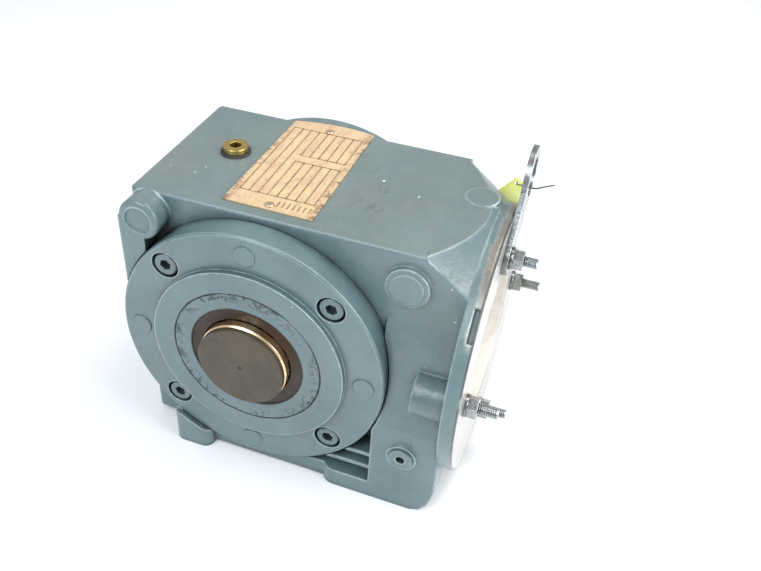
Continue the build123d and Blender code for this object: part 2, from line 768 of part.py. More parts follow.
with BuildPart() as helical_wheel_key:
    with BuildSketch(Plane.XY.offset(WORM_Z + 5.5)):
        with Locations((HELICAL_START + 7.5, 0)):
            Rectangle(12, 6)
    extrude(amount=6)
helical_wheel_key.part.label = "helical_wheel_key"
export_step(helical_wheel_key.part, "parts/helical_wheel_key.step")

with BuildPart() as helical_wheel_circlip:
    add(worm_centre * circlip(at_x(HELICAL_START + HELICAL_WIDTH), 8.5, 11.5, 1.2, -90))
helical_wheel_circlip.part.label = "helical_wheel_circlip"
export_step(helical_wheel_circlip.part, "parts/helical_wheel_circlip.step")

# ---- motor studs, nuts and washers, and the lifting plate -----------------------------------------
NUT_STARTS = [
    (0, FLANGE_FACE + WASHER_T),
    (90, FLANGE_FACE + PLATE_T + WASHER_T),
    (180, FLANGE_FACE + WASHER_T),
    (270, FLANGE_FACE + WASHER_T),
]
with BuildPart() as motor_studs:
    with BuildSketch(at_x(STUD_ROOT)):
        with Locations((0, FLANGE_Z)):
            with PolarLocations(STUD_PCD_R, 4, 0):
                Circle(STUD_R)
    extrude(amount=STUD_TIP - STUD_ROOT)
    chamfer(motor_studs.edges().group_by(Axis.X)[-1], length=0.6)
motor_studs.part.label = "motor_studs"
export_step(motor_studs.part, "parts/motor_studs.step")

with BuildPart() as stud_washers:
    for angle, nut_start in NUT_STARTS:
        with BuildSketch(at_x(nut_start - WASHER_T)):
            with Locations((0, FLANGE_Z)):
                with Locations(polar(STUD_PCD_R, angle)):
                    Circle(6)
                    Circle(STUD_R + 0.2, mode=Mode.SUBTRACT)
        extrude(amount=WASHER_T)
stud_washers.part.label = "stud_washers"
export_step(stud_washers.part, "parts/stud_washers.step")

with BuildPart() as stud_nuts:
    for angle, nut_start in NUT_STARTS:
        with BuildSketch(at_x(nut_start)):
            with Locations((0, FLANGE_Z)):
                with Locations(polar(STUD_PCD_R, angle)):
                    RegularPolygon(NUT_AF / 2, 6, major_radius=False, rotation=30)
                    Circle(STUD_R, mode=Mode.SUBTRACT)
        extrude(amount=NUT_H)
stud_nuts.part.label = "stud_nuts"
export_step(stud_nuts.part, "parts/stud_nuts.step")

TOP_STUD = (0, FLANGE_Z + STUD_PCD_R)
eye_y, eye_z = polar(EYE_DISTANCE, PLATE_ANGLE)
EYE = (eye_y, TOP_STUD[1] + eye_z)
with BuildPart() as lifting_plate:
    with BuildSketch(at_x(FLANGE_FACE)):
        with Locations(TOP_STUD):
            Circle(9.5)
        with Locations(((TOP_STUD[0] + EYE[0]) / 2, (TOP_STUD[1] + EYE[1]) / 2)):
            Rectangle(EYE_DISTANCE, 19, rotation=PLATE_ANGLE)
        with Locations(EYE):
            Circle(EYE_OUTER_R)
            Circle(EYE_HOLE_R, mode=Mode.SUBTRACT)
        with Locations(TOP_STUD):
            Circle(STUD_R + 0.25, mode=Mode.SUBTRACT)
    extrude(amount=PLATE_T)
lifting_plate.part.label = "lifting_plate"
export_step(lifting_plate.part, "parts/lifting_plate.step")

# ---- identity tag on its wire, tied through the lifting eye -----------------------------------------
TAG_CENTRE = (109.1, 60.0, 60.0)
WIRE_R = 0.45
with BuildPart() as identity_tag:
    with BuildSketch(Plane(TAG_CENTRE, x_dir=(0.766, 0, -0.643), z_dir=(0, -1, 0))):
        RectangleRounded(13, 16, 1.5)
        with Locations((-3.5, 5)):
            Circle(1.3, mode=Mode.SUBTRACT)
    extrude(amount=0.6)
identity_tag.part.label = "identity_tag"
export_step(identity_tag.part, "parts/identity_tag.step")

# The wire runs straight between these points and turns on an arc at each of them.
WIRE_ROUTE = [
    (109.6, 62.0, 66.1),
    (109.6, 57.5, 66.3),
    (111.0, 51.5, 70.5),
    (114.2, 44.0, 74.8),
    (117.0, 37.4, 79.0),
    (122.0, 35.5, 79.2),
    (127.0, 35.2, 82.2),
    (131.6, 36.6, 83.4),
]
WIRE_ARC_SHARE = 0.45


def corner_radius(before, corner, after):
    """The radius of the arc at a corner whose two runs it takes up by WIRE_ARC_SHARE."""
    run_in = Vector(*corner) - Vector(*before)
    run_out = Vector(*after) - Vector(*corner)
    half_turn = run_in.get_angle(run_out) / 2
    return WIRE_ARC_SHARE * min(run_in.length, run_out.length) / tan(radians(half_turn))


wire_radii = [corner_radius(*WIRE_ROUTE[i : i + 3]) for i in range(len(WIRE_ROUTE) - 2)]
print("tag wire radii", [round(radius, 1) for radius in wire_radii])
with BuildPart() as tag_wire:
    with BuildLine() as wire_path:
        FilletPolyline(*WIRE_ROUTE, radius=wire_radii)
    with BuildSketch(Plane(wire_path.line @ 0, z_dir=wire_path.line % 0)):
        Circle(WIRE_R)
    sweep()
tag_wire.part.label = "tag_wire"
export_step(tag_wire.part, "parts/tag_wire.step")

# ---- filler plug, drain plug and nameplate ----------------------------------------------------------
with BuildPart() as filler_plug_washer:
    with BuildSketch(Plane.XY.offset(CASE_TOP)):
        with Locations((-37, 6)):
            Circle(8.3)
            Circle(5.1, mode=Mode.SUBTRACT)
    extrude(amount=0.9)
filler_plug_washer.part.label = "filler_plug_washer"
export_step(filler_plug_washer.part, "parts/filler_plug_washer.step")

with BuildPart() as filler_plug:
    with BuildSketch(Plane.XY.offset(CASE_TOP + 0.9)):
        with Locations((-37, 6)):
            Circle(7)
    extrude(amount=3.4)
    fillet(filler_plug.edges().group_by(Axis.Z)[-1], radius=0.6)
    with BuildSketch(Plane.XY.offset(CASE_TOP + 0.9)):
        with Locations((-37, 6)):
            Circle(5)
    extrude(amount=-9)
    with BuildSketch(Plane.XY.offset(CASE_TOP + 4.3)):
        with Locations((-37, 6)):
            RegularPolygon(3, 6, major_radius=False)
    extrude(amount=-5, mode=Mode.SUBTRACT)
filler_plug.part.label = "filler_plug"
export_step(filler_plug.part, "parts/filler_plug.step")

with BuildPart() as drain_plug:
    with BuildSketch(at_y(FOOT_FRONT - 1.8)):
        with Locations((89, -42)):
            Circle(6.8)
    extrude(amount=1.5)
    fillet(drain_plug.edges().group_by(Axis.Y)[0], radius=0.5)
    with BuildSketch(at_y(FOOT_FRONT - 1.8)):
        with Locations((89, -42)):
            Circle(5)
    extrude(amount=-9)
    with BuildSketch(at_y(FOOT_FRONT - 3.3)):
        with Locations((89, -42)):
            RegularPolygon(2.5, 6, major_radius=False)
    extrude(amount=-5, mode=Mode.SUBTRACT)
drain_plug.part.label = "drain_plug"
export_step(drain_plug.part, "parts/drain_plug.step")

with BuildPart() as nameplate:
    with BuildSketch(Plane.XY.offset(CASE_TOP)):
        with BuildLine():
            Polyline((-21, 51), (-22, -39.5), (27, -40), (26.6, 53))
            ThreePointArc((26.6, 53), (3, 55), (-21, 51))
        make_face()
        with Locations((2.5, -36), (2.5, 46)):
            Circle(1.6, mode=Mode.SUBTRACT)
    extrude(amount=0.8)
nameplate.part.label = "nameplate"
export_step(nameplate.part, "parts/nameplate.step")

with BuildPart() as nameplate_rivets:
    with BuildSketch(Plane.XY.offset(CASE_TOP + 0.8)):
        with Locations((2.5, -36), (2.5, 46)):
            Circle(2.4)
    extrude(amount=0.9)
    fillet(nameplate_rivets.edges().group_by(Axis.Z)[-1], radius=0.7)
    with BuildSketch(Plane.XY.offset(CASE_TOP + 0.8)):
        with Locations((2.5, -36), (2.5, 46)):
            Circle(1.5)
    extrude(amount=-4.8)
nameplate_rivets.part.label = "nameplate_rivets"
export_step(nameplate_rivets.part, "parts/nameplate_rivets.step")
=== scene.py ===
import json
import math

import bpy
from mathutils import Matrix, Vector


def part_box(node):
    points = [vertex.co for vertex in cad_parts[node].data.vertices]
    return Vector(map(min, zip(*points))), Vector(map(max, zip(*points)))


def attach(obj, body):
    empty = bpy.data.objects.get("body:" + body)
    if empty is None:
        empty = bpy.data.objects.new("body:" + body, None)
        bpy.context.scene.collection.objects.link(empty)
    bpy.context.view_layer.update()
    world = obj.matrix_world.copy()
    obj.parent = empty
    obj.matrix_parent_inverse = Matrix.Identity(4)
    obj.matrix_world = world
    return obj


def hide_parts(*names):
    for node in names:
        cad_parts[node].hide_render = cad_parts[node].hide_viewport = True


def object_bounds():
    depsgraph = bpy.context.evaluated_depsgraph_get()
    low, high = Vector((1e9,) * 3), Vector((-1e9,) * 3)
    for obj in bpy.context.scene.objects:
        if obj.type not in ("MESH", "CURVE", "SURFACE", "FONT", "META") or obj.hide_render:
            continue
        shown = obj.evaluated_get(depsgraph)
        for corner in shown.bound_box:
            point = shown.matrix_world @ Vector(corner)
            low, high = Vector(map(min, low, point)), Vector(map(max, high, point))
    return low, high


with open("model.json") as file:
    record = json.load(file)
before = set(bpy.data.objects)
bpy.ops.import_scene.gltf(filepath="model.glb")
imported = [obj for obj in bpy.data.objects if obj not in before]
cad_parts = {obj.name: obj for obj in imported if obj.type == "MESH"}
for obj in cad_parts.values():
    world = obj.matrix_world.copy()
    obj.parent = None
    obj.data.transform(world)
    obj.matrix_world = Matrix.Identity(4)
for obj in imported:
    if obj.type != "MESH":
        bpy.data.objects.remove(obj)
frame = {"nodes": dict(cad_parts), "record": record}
nodes = frame["nodes"]
slot_of = {part["node"]: part["material_slot"] for part in frame["record"]["subparts"]}
cad_low, cad_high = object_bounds()

# Lengths are in metres. Colours are linear red, green and blue.

# ---------------------------------------------------------------- places read from the frame

STUD_R = 0.003

studs_low, studs_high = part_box("motor_studs")
stud_circle = (studs_high[1] - studs_low[1]) / 2 - STUD_R
flange_centre_z = (studs_high[2] + studs_low[2]) / 2
flange_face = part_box("stud_washers")[0][0]
flange_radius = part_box("housing")[1][1]
carrier_low, carrier_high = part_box("seal_carrier")
carrier_radius = (carrier_high[0] - carrier_low[0]) / 2
plate_low, plate_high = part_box("nameplate")
case_top = plate_low[2]
shaft_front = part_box("output_shaft")[0][1]

# ---------------------------------------------------------------- material helpers


def shade(colour, factor):
    """A darker or lighter version of a colour."""
    return tuple(min(1, channel * factor) for channel in colour)


class Shader:
    """A small wrapper round one material's node tree."""

    def __init__(self, name):
        self.material = bpy.data.materials.new(name)
        self.material.use_nodes = True
        self.tree = self.material.node_tree
        self.principled = self.tree.nodes["Principled BSDF"]
        self.place = self.add("ShaderNodeTexCoord").outputs["Object"]
        split = self.add("ShaderNodeSeparateXYZ")
        self.link(self.place, split.inputs[0])
        self.x, self.y, self.z = split.outputs[:3]

    def add(self, kind, **settings):
        node = self.tree.nodes.new(kind)
        for key, value in settings.items():
            setattr(node, key, value)
        return node

    def link(self, source, target):
        self.tree.links.new(source, target)

    def put(self, socket, value):
        """Links value if it is a socket, and sets it if it is a number or a colour."""
        if isinstance(value, bpy.types.NodeSocket):
            self.link(value, socket)
        elif isinstance(value, tuple) and len(value) == 3 and socket.type == "RGBA":
            socket.default_value = (*value, 1.0)
        else:
            socket.default_value = value

    def stretched(self, scale):
        """The place, stretched so that a texture runs finer along some axes than along others."""
        mapping = self.add("ShaderNodeMapping")
        self.link(self.place, mapping.inputs["Vector"])
        mapping.inputs["Scale"].default_value = scale
        return mapping.outputs["Vector"]

    def noise(self, scale, detail=4.0, rough=0.55, place=None, distortion=0.0):
        node = self.add("ShaderNodeTexNoise")
        self.link(place or self.place, node.inputs["Vector"])
        node.inputs["Scale"].default_value = scale
        node.inputs["Detail"].default_value = detail
        node.inputs["Roughness"].default_value = rough
        node.inputs["Distortion"].default_value = distortion
        return node.outputs["Fac"]

    def cells(self, scale):
        """How far a point is from the nearest of many scattered centres."""
        node = self.add("ShaderNodeTexVoronoi", feature="F1")
        self.link(self.place, node.inputs["Vector"])
        node.inputs["Scale"].default_value = scale
        return node.outputs["Distance"]

    def span(self, value, low, high, new_low=0.0, new_high=1.0):
        """Maps low..high to new_low..new_high, and holds the ends outside it."""
        node = self.add("ShaderNodeMapRange")
        self.put(node.inputs["Value"], value)
        node.inputs["From Min"].default_value = low
        node.inputs["From Max"].default_value = high
        node.inputs["To Min"].default_value = new_low
        node.inputs["To Max"].default_value = new_high
        return node.outputs["Result"]

    def maths(self, operation, a, b=0.0):
        node = self.add("ShaderNodeMath", operation=operation)
        self.put(node.inputs[0], a)
        self.put(node.inputs[1], b)
        return node.outputs[0]

    def product(self, *factors):
        result = factors[0]
        for factor in factors[1:]:
            result = self.maths("MULTIPLY", result, factor)
        return result

    def mix(self, factor, a, b):
        """A colour that goes from a to b."""
        node = self.add("ShaderNodeMix", data_type="RGBA")
        self.put(node.inputs["Factor"], factor)
        self.put(node.inputs[6], a)
        self.put(node.inputs[7], b)
        return node.outputs[2]

    def blend(self, factor, a, b):
        """A number that goes from a to b."""
        node = self.add("ShaderNodeMix", data_type="FLOAT")
        self.put(node.inputs["Factor"], factor)
        self.put(node.inputs[2], a)
        self.put(node.inputs[3], b)
        return node.outputs[0]

    def distance(self, a, b, centre_a=0.0, centre_b=0.0):
        """How far a point is from the line where a is centre_a and b is centre_b."""
        across = self.maths("SUBTRACT", a, centre_a)
        along = self.maths("SUBTRACT", b, centre_b)
        squares = self.maths("ADD", self.product(across, across), self.product(along, along))
        return self.maths("SQRT", squares)

    def bump(self, height, distance, strength=1.0, normal=None):
        node = self.add("ShaderNodeBump")
        self.link(height, node.inputs["Height"])
        node.inputs["Distance"].default_value = distance
        node.inputs["Strength"].default_value = strength
        if normal:
            self.link(normal, node.inputs["Normal"])
        return node.outputs["Normal"]

    def rounded(self, radius):
        """The surface normal with its edges rounded off to a radius."""
        node = self.add("ShaderNodeBevel", samples=8)
        node.inputs["Radius"].default_value = radius
        return node.outputs["Normal"]

    def edges(self, normal, low, high):
        """How near a point is to an edge, from a rounded normal."""
        flat = self.add("ShaderNodeNewGeometry").outputs["Normal"]
        dot = self.add("ShaderNodeVectorMath", operation="DOT_PRODUCT")
        self.link(normal, dot.inputs[0])
        self.link(flat, dot.inputs[1])
        return self.span(dot.outputs["Value"], high, low)

    def hollows(self, distance, low, high):
        """1 deep in a corner and 0 in the open."""
        node = self.add("ShaderNodeAmbientOcclusion", samples=8)
        node.inputs["Distance"].default_value = distance
        return self.span(node.outputs["AO"], high, low)

    def finish(self, colour, roughness, metallic=0.0, normal=None, **more):
        """Feeds the shader and returns the material. Words in more name the shader's own sockets."""
        self.put(self.principled.inputs["Base Color"], colour)
        self.put(self.principled.inputs["Roughness"], roughness)
        self.put(self.principled.inputs["Metallic"], metallic)
        if normal:
            self.link(normal, self.principled.inputs["Normal"])
            self.link(normal, self.principled.inputs["Coat Normal"])
        for key, value in more.items():
            self.principled.inputs[key.replace("_", " ")].default_value = value
        return self.material


# ---------------------------------------------------------------- paint on the castings

PAINT = (0.094, 0.150, 0.166)
HOLLOW_SHADE = (0.016, 0.022, 0.026)
HAZE = (0.27, 0.29, 0.26)
SCUFFED = (0.05, 0.06, 0.062)
WORN_AND_HIGHLIT_EDGE = (0.56, 0.74, 0.76)
CHIPPED = (0.62, 0.64, 0.62)
SEAM_DARK = (0.010, 0.016, 0.018)
COAT = {"Coat_Weight": 0.6, "Coat_Roughness": 0.27}


def enamel(s, colour, edge_radius, edge_wear_and_highlight, speckle, grain):
    """Blue-grey machine enamel with orange peel, painted shade in the corners, and worn edges that also
    carry a painted highlight.
    Returns its colour, roughness and normal."""
    round_normal = s.rounded(edge_radius)
    light = shade(colour, 1.25)
    base = s.mix(s.span(s.noise(22, 5, 0.6), 0.3, 0.7), shade(colour, 0.80), light)
    base = s.mix(s.span(s.noise(300, 3, 0.6), 0.35, 0.75, 0.0, 0.4), base, light)
    haze = s.span(s.noise(9, 4, 0.65, distortion=0.6), 0.50, 0.80, 0.0, 0.22)
    base = s.mix(haze, base, HAZE)
    # Painted shade: an ambient-occlusion mask darkens the corners and hollows to near black.
    corner = s.hollows(0.008, 0.30, 0.80)
    hollow_shade = s.product(corner, s.span(s.noise(60, 5, 0.7), 0.25, 0.6, 0.45, 1.0))
    base = s.mix(hollow_shade, base, HOLLOW_SHADE)
    streaks = s.noise(48, 6, 0.7, s.stretched((1.0, 0.35, 0.8)), 1.4)
    base = s.mix(s.span(streaks, 0.66, 0.76, 0.0, 0.7), base, SCUFFED)
    # Edges in the open turn pale: partly worn paint, partly a painted highlight.
    edge = s.edges(round_normal, 0.78, 0.985)
    broken = s.span(s.noise(150, 5, 0.7), 0.28, 0.56, 0.15, 1.0)
    in_the_open = s.maths("SUBTRACT", 1.0, corner)
    base = s.mix(s.product(edge, broken, in_the_open, edge_wear_and_highlight), base, WORN_AND_HIGHLIT_EDGE)
    chip = s.span(s.cells(105), 0.10, 0.06)
    sparse = s.span(s.noise(18, 3, 0.6), 0.57, 0.62)
    base = s.mix(s.product(chip, sparse, speckle), base, CHIPPED)
    rough = s.span(s.noise(130, 4, 0.6), 0.3, 0.7, 0.30, 0.46)
    rough = s.maths("ADD", rough, s.product(hollow_shade, 0.3))
    orange_peel = s.bump(s.noise(75, 4, 0.55), 0.0011 * grain, 0.5, round_normal)
    normal = s.bump(s.noise(420, 3, 0.6), 0.00028 * grain, 0.6, orange_peel)
    return base, rough, normal


SEAM_HALF_WIDTH = 0.0005


def seam(s, base, radius, at):
    """Darkens the thin gap between two round pieces, unevenly."""
    off = s.maths("ABSOLUTE", s.maths("SUBTRACT", radius, at))
    narrow, wide = SEAM_HALF_WIDTH * 0.45, SEAM_HALF_WIDTH * 1.5
    dark = s.maths("LESS_THAN", off, s.span(s.noise(40, 3, 0.6), 0.35, 0.65, narrow, wide))
    return s.mix(s.product(dark, 0.92), base, SEAM_DARK)


def paint(name, colour, edge_radius=0.0012, edge_wear_and_highlight=0.6, speckle=0.5, grain=0.5, seam_at=None):
    """Plain enamel, with a dark seam round the output shaft's axis where seam_at is given."""
    s = Shader(name)
    base, rough, normal = enamel(s, colour, edge_radius, edge_wear_and_highlight, speckle, grain)
    if seam_at:
        base = seam(s, base, s.distance(s.x, s.z), seam_at)
    return s.finish(base, rough, 0.0, normal, **COAT)


# Marks on the top of the case. A knock is an x, a y and a radius.
TOP_SKIN = 0.0005
TOP_KNOCKS = [(0.0471, 0.0099, 0.0009), (0.0685, 0.0024, 0.0007), (-0.0469, -0.0220, 0.0005)]
KNOCKED = (0.72, 0.74, 0.72)
SMUDGE_CENTRE = (0.049, -0.009)
SMUDGE_R = 0.016
SMUDGED = (0.045, 0.050, 0.048)
TOP_DUST_AND_SHEEN = (0.40, 0.35, 0.24)


def top_marks(s, base):
    """Settled dust that is also a painted sheen, a dark smudge and pale knocks on the top of the case.
    """
    on_top = s.maths("GREATER_THAN", s.z, case_top - TOP_SKIN)
    # Pale brownish film on the top: partly dust, partly a painted sheen that lightens the top.
    dust_and_sheen = s.span(s.noise(14, 5, 0.65), 0.3, 0.7, 0.06, 0.18)
    base = s.mix(s.product(dust_and_sheen, on_top), base, TOP_DUST_AND_SHEEN)
    near_smudge = s.span(s.distance(s.x, s.y, *SMUDGE_CENTRE), SMUDGE_R, 0.0)
    smeared = s.span(s.noise(240, 5, 0.75, s.stretched((1.0, 0.3, 1.0))), 0.53, 0.62)
    base = s.mix(s.product(near_smudge, smeared, on_top, 0.9), base, SMUDGED)
    for knock_x, knock_y, knock_r in TOP_KNOCKS:
        knocked = s.span(s.distance(s.x, s.y, knock_x, knock_y), knock_r, knock_r * 0.6)
        base = s.mix(s.product(knocked, on_top), base, KNOCKED)
    return base


# The motor flange: its turned face, and the rim next to the face, bare where it stands high.
BARE_IRON = (0.56, 0.57, 0.56)
IRON_STAIN = (0.34, 0.28, 0.20)
RIM_SOIL = (0.26, 0.26, 0.24)
RIM_RUST = (0.10, 0.075, 0.045)
ARRIS_SHADE = (0.035, 0.040, 0.040)
FACE_SKIN = 0.0004
BARE_RIM_WIDTH = 0.0040
RIM_FADE = 0.0012
RIM_WANDER = 0.0016
BARE_RIM_RISE = (0.040, 0.046)
RUSTY_RIM_RISE = (0.052, 0.064)


def turned_flange(s, base, rough, radius):
    """Bare turned iron on the motor flange's face, stained bare iron on part of its rim, and a
    dark line along the corner between them. Returns the colour, the roughness and the bare share."""
    rings_at = s.add("ShaderNodeCombineXYZ")
    s.put(rings_at.inputs[0], radius)
    tooling = s.noise(1400, 3, 0.7, rings_at.outputs[0])
    bare = s.mix(s.span(tooling, 0.3, 0.7), shade(BARE_IRON, 0.72), BARE_IRON)
    bare = s.mix(s.span(s.noise(45, 5, 0.7), 0.50, 0.75, 0.0, 0.5), bare, IRON_STAIN)
    face = s.span(s.x, flange_face - FACE_SKIN, flange_face - FACE_SKIN / 2)
    on_rim = s.span(radius, flange_radius - 0.0015, flange_radius - 0.0008)
    wander = s.span(s.noise(70, 4, 0.6), 0.3, 0.7, -RIM_WANDER, RIM_WANDER)
    rim_start = flange_face - BARE_RIM_WIDTH
    rim_x = s.maths("ADD", s.x, wander)
    beside_face = s.span(rim_x, rim_start - RIM_FADE, rim_start + RIM_FADE, 0.0, 0.8)
    high = s.span(s.z, *(flange_centre_z + rise for rise in BARE_RIM_RISE))
    rim = s.product(beside_face, on_rim, high)
    turned = s.maths("MAXIMUM", face, rim)
    base = s.mix(turned, base, bare)
    base = s.mix(s.product(rim, 0.45), base, RIM_SOIL)
    highest = s.span(s.z, *(flange_centre_z + rise for rise in RUSTY_RIM_RISE))
    base = s.mix(s.product(rim, highest, 0.75), base, RIM_RUST)
    # Painted shade: a broken dark line along the corner between the turned face and the rim.
    corner_line = s.product(s.span(s.x, flange_face - 0.0011, flange_face - 0.0009), on_rim)
    broken_line = s.span(s.noise(70, 4, 0.7), 0.30, 0.42, 0.2, 0.85)
    base = s.mix(s.product(corner_line, broken_line), base, ARRIS_SHADE)
    rough = s.blend(turned, rough, s.span(tooling, 0.3, 0.7, 0.28, 0.45))
    return base, rough, turned


PRIMER = (0.84, 0.81, 0.76)
PRIMER_STAIN = (0.48, 0.40, 0.30)
CHAMBER_START = 0.0774
CHAMBER_R = 0.046
CHAMBER_FADE = 0.0002


def chamber_primer(s, base, radius):
    """Pale primer inside the chamber behind the motor flange."""
    past_start = s.span(s.x, CHAMBER_START - CHAMBER_FADE, CHAMBER_START + CHAMBER_FADE)
    within = s.span(radius, CHAMBER_R + CHAMBER_FADE, CHAMBER_R - CHAMBER_FADE)
    behind_face = s.maths("LESS_THAN", s.x, flange_face - FACE_SKIN)
    inside = s.product(past_start, within, behind_face)
    stained = s.mix(s.span(s.noise(50, 5, 0.7), 0.45, 0.75, 0.0, 0.6), PRIMER, PRIMER_STAIN)
    return s.mix(inside, base, stained)


def case_paint(name, colour):
    """The casting: enamel outside, a bare turned flange face and rim, and primer in the chamber."""
    s = Shader(name)
    # Edge lightening grows near the top of the case: a painted highlight along the top's edges.
    edge_wear_and_highlight = s.span(s.z, case_top - 0.008, case_top - 0.003, 0.55, 1.5)
    base, rough, normal = enamel(s, colour, 0.0024, edge_wear_and_highlight, 1.0, 1.0)
    base = top_marks(s, base)
    radius = s.distance(s.y, s.z, 0.0, flange_centre_z)
    base, rough, turned = turned_flange(s, base, rough, radius)
    base = chamber_primer(s, base, radius)
    return s.finish(base, rough, s.product(turned, 0.55), normal, **COAT)


CARRIER_CHIP = (0.018, 0.034, 0.038)
CARRIER_SPECK = (0.62, 0.68, 0.68)


def carrier_paint(name, colour):
    """The seal carrier: the same enamel, chipped dark near its outer edge."""
    s = Shader(name)
    base, rough, normal = enamel(s, colour, 0.0008, 0.5, 0.6, 0.4)
    radius = s.distance(s.x, s.z)
    chipped = s.span(s.noise(210, 4, 0.75, distortion=0.8), 0.53, 0.56)
    near_edge = s.span(radius, carrier_radius - 0.0070, carrier_radius - 0.0025)
    patchy = s.span(s.noise(45, 2, 0.5), 0.34, 0.46)
    chips = s.product(chipped, near_edge, patchy)
    base = s.mix(chips, base, CARRIER_CHIP)
    specks = s.span(s.noise(210, 4, 0.7), 0.66, 0.70, 0.0, 0.8)
    base = s.mix(s.product(specks, near_edge), base, CARRIER_SPECK)
    normal = s.bump(s.maths("SUBTRACT", 1.0, chips), 0.00025, 0.8, normal)
    base = seam(s, base, radius, carrier_radius)
    return s.finish(base, rough, 0.0, normal, **COAT)


# ---------------------------------------------------------------- bare metal, rubber and plastic

OIL_AND_REFLECTION_END = (0.011, 0.007)


def shaft_with_oil_and_reflection(name):
    """Turned steel whose front end, out in the air, is yellowed by old rust-preventive oil and by a
    painted warm reflection.
    """
    s = Shader(name)
    round_normal = s.rounded(0.0005)
    rings = s.noise(900, 3, 0.7, s.stretched((0.1, 1.0, 0.1)))
    steel = s.mix(s.span(rings, 0.3, 0.7), (0.44, 0.43, 0.41), (0.64, 0.62, 0.59))
    # Gold front end: partly an oil film, partly a painted warm reflection.
    oil_and_reflection = s.mix(s.span(s.noise(60, 5, 0.7), 0.35, 0.65), (0.92, 0.76, 0.52), (0.80, 0.50, 0.26))
    oiled_and_reflecting = s.span(s.y, *(shaft_front + depth for depth in OIL_AND_REFLECTION_END))
    base = s.mix(oiled_and_reflecting, steel, oil_and_reflection)
    rust = s.span(s.noise(80, 6, 0.7), 0.56, 0.76, 0.0, 0.5)
    base = s.mix(rust, base, (0.24, 0.13, 0.06))
    roughness = s.span(s.noise(160, 4, 0.6), 0.3, 0.7, 0.18, 0.36)
    return s.finish(base, roughness, 1.0, s.bump(rings, 0.00008, 0.6, round_normal))


def machined(name, colour, rough=0.3, stain=(0.16, 0.10, 0.06), staining=0.3, dark=0.72):
    """Turned or ground metal with fine tool marks, smudges, light staining, painted shade in the
    hollows and a painted highlight on the edges.
    """
    s = Shader(name)
    round_normal = s.rounded(0.0004)
    marks = s.noise(900, 3, 0.7)
    base = s.mix(s.span(marks, 0.3, 0.7), shade(colour, dark), colour)
    spots = s.span(s.noise(70, 6, 0.7), 0.48, 0.72, 0.0, staining)
    base = s.mix(spots, base, stain)
    # Painted shade: an ambient-occlusion mask darkens the hollows.
    hollow_shade = s.hollows(0.0035, 0.30, 0.85)
    base = s.mix(s.product(hollow_shade, 0.85), base, (0.03, 0.026, 0.02))
    # Painted highlight: the edges get a lighter copy of the metal's colour.
    edge = s.edges(round_normal, 0.80, 0.98)
    base = s.mix(s.product(edge, 0.6), base, shade(colour, 1.35))
    roughness = s.span(s.noise(160, 4, 0.6), 0.3, 0.7, rough * 0.75, rough * 1.5)
    normal = s.bump(marks, 0.00008, 0.6, round_normal)
    return s.finish(base, roughness, 1.0, normal)


def moulded(name, colour, second, rough=0.4, scratch=0.3, hollow_shade_depth=0.6):
    """Moulded plastic or rubber with a fine skin, scuffs, dust and painted shade in the hollows."""
    s = Shader(name)
    round_normal = s.rounded(0.0006)
    base = s.mix(s.span(s.noise(45, 5, 0.65), 0.32, 0.68), colour, second)
    streaks = s.noise(120, 6, 0.75, s.stretched((1.0, 1.0, 0.18)), 0.8)
    base = s.mix(s.span(streaks, 0.60, 0.75, 0.0, scratch), base, (0.30, 0.26, 0.21))
    # Painted shade: an ambient-occlusion mask darkens the hollows.
    hollow_shade = s.hollows(0.003, 0.3, 0.8)
    base = s.mix(s.product(hollow_shade, hollow_shade_depth), base, (0.012, 0.009, 0.008))
    roughness = s.span(s.noise(190, 4, 0.6), 0.3, 0.7, rough * 0.8, rough * 1.35)
    normal = s.bump(s.noise(700, 3, 0.6), 0.0001, 0.5, round_normal)
    return s.finish(base, roughness, 0.0, normal)


def nameplate_metal(name):
    """A tan anodised plate, mottled, with dark stains along its two long sides."""
    s = Shader(name)
    round_normal = s.rounded(0.0004)
    brushed = s.noise(500, 3, 0.7, s.stretched((1.0, 0.06, 1.0)))
    base = s.mix(s.span(brushed, 0.3, 0.7), (0.58, 0.39, 0.25), (0.74, 0.53, 0.35))
    blotch = s.span(s.noise(42, 6, 0.75), 0.42, 0.66, 0.0, 0.75)
    base = s.mix(blotch, base, (0.74, 0.60, 0.33))
    centre_x = (plate_low[0] + plate_high[0]) / 2
    half_width = (plate_high[0] - plate_low[0]) / 2
    side = s.maths("ABSOLUTE", s.maths("SUBTRACT", s.x, centre_x))
    near_side = s.span(side, half_width - 0.005, half_width - 0.001)
    stains = s.product(near_side, s.span(s.noise(190, 5, 0.75), 0.46, 0.58, 0.0, 0.85))
    base = s.mix(stains, base, (0.24, 0.13, 0.08))
    specks = s.span(s.noise(330, 4, 0.75), 0.56, 0.66, 0.0, 0.55)
    base = s.mix(specks, base, (0.34, 0.22, 0.12))
    roughness = s.span(s.noise(160, 4, 0.6), 0.3, 0.7, 0.38, 0.6)
    normal = s.bump(brushed, 0.00006, 0.5, round_normal)
    return s.finish(base, roughness, 0.25, normal)


def ruled_ink(name):
    """Worn brown ink."""
    s = Shader(name)
    ink = s.mix(s.span(s.noise(220, 4, 0.7), 0.35, 0.65), (0.20, 0.125, 0.07), (0.40, 0.27, 0.16))
    return s.finish(ink, 0.6, normal=s.bump(s.noise(600), 0.00005, 0.4))


def floor_sheet(name):
    s = Shader(name)
    tone = s.mix(s.span(s.noise(3.0, 2), 0.3, 0.7), (0.92, 0.925, 0.95), (0.95, 0.955, 0.98))
    return s.finish(tone, 0.7, normal=s.bump(s.noise(80), 0.0005, 0.1))


